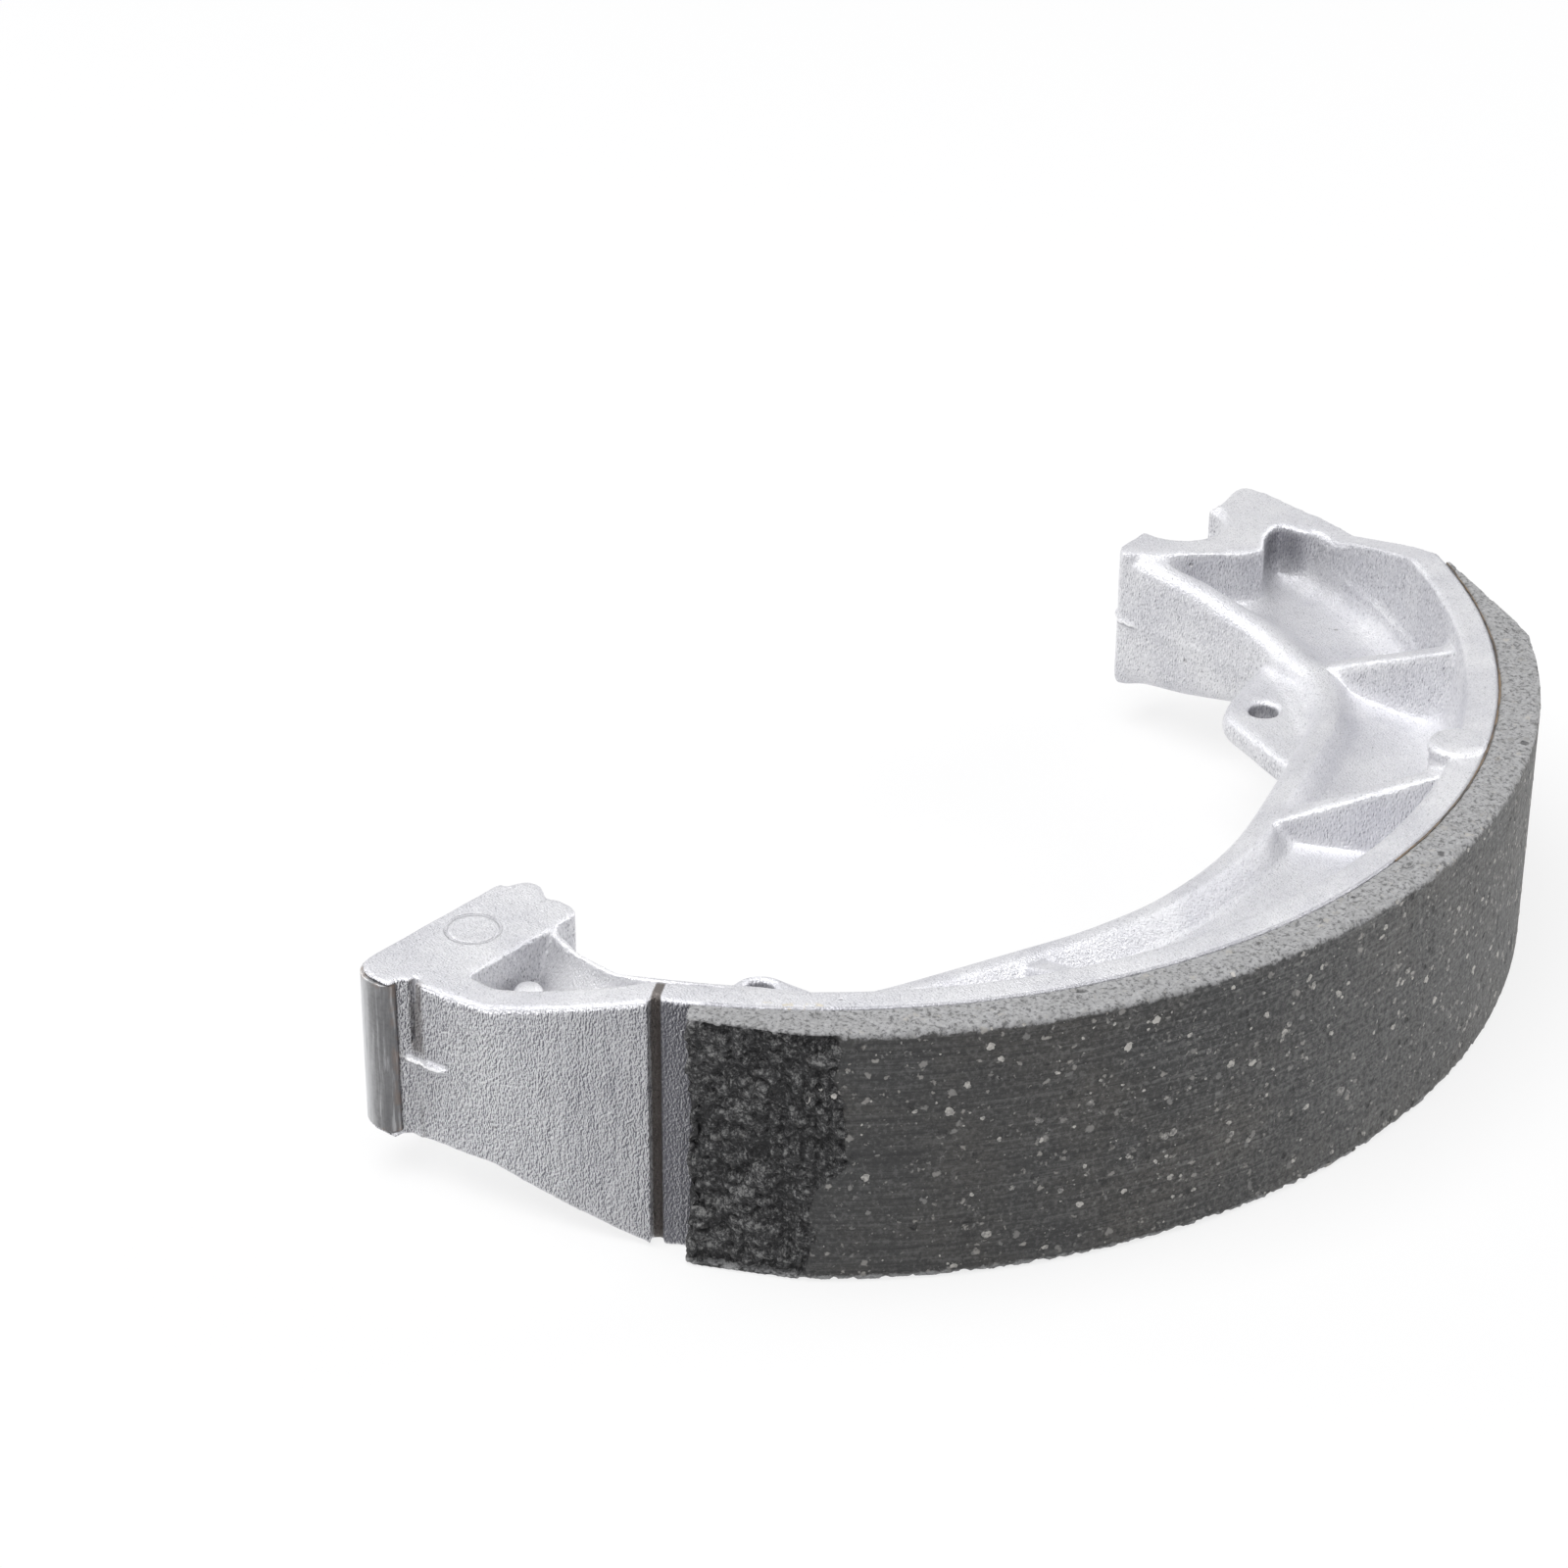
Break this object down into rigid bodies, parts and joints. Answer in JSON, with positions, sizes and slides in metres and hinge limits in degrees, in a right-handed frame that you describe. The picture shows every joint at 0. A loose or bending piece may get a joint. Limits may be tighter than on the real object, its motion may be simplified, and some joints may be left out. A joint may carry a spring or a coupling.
{
  "type": "brake shoe",
  "caption": "Curved cast drum brake shoe with a bonded lining; a cam spreads one end while a half-round fork pivots on the anchor pin.",
  "frame": {"origin": "on the drum's axis, in the plane of the rim's lower edge, where the shoe rests", "axes": "+Z along the drum's axis, +X out through the middle of the lining, -Y towards the cam end and +Y towards the anchor end"},
  "size_m": [0.0766, 0.1497, 0.029],
  "materials": {
    "cast_aluminium": "shot-blasted die casting",
    "lining_compound": "ground friction compound with light fibres and specks",
    "plate_steel": "bare steel, dull and lightly rusted at its edges"
  },
  "bodies": {
    "root": {"shoe_casting": "cast_aluminium", "friction_lining": "lining_compound", "cam_wear_plate": "plate_steel"}
  },
  "joints": []
}
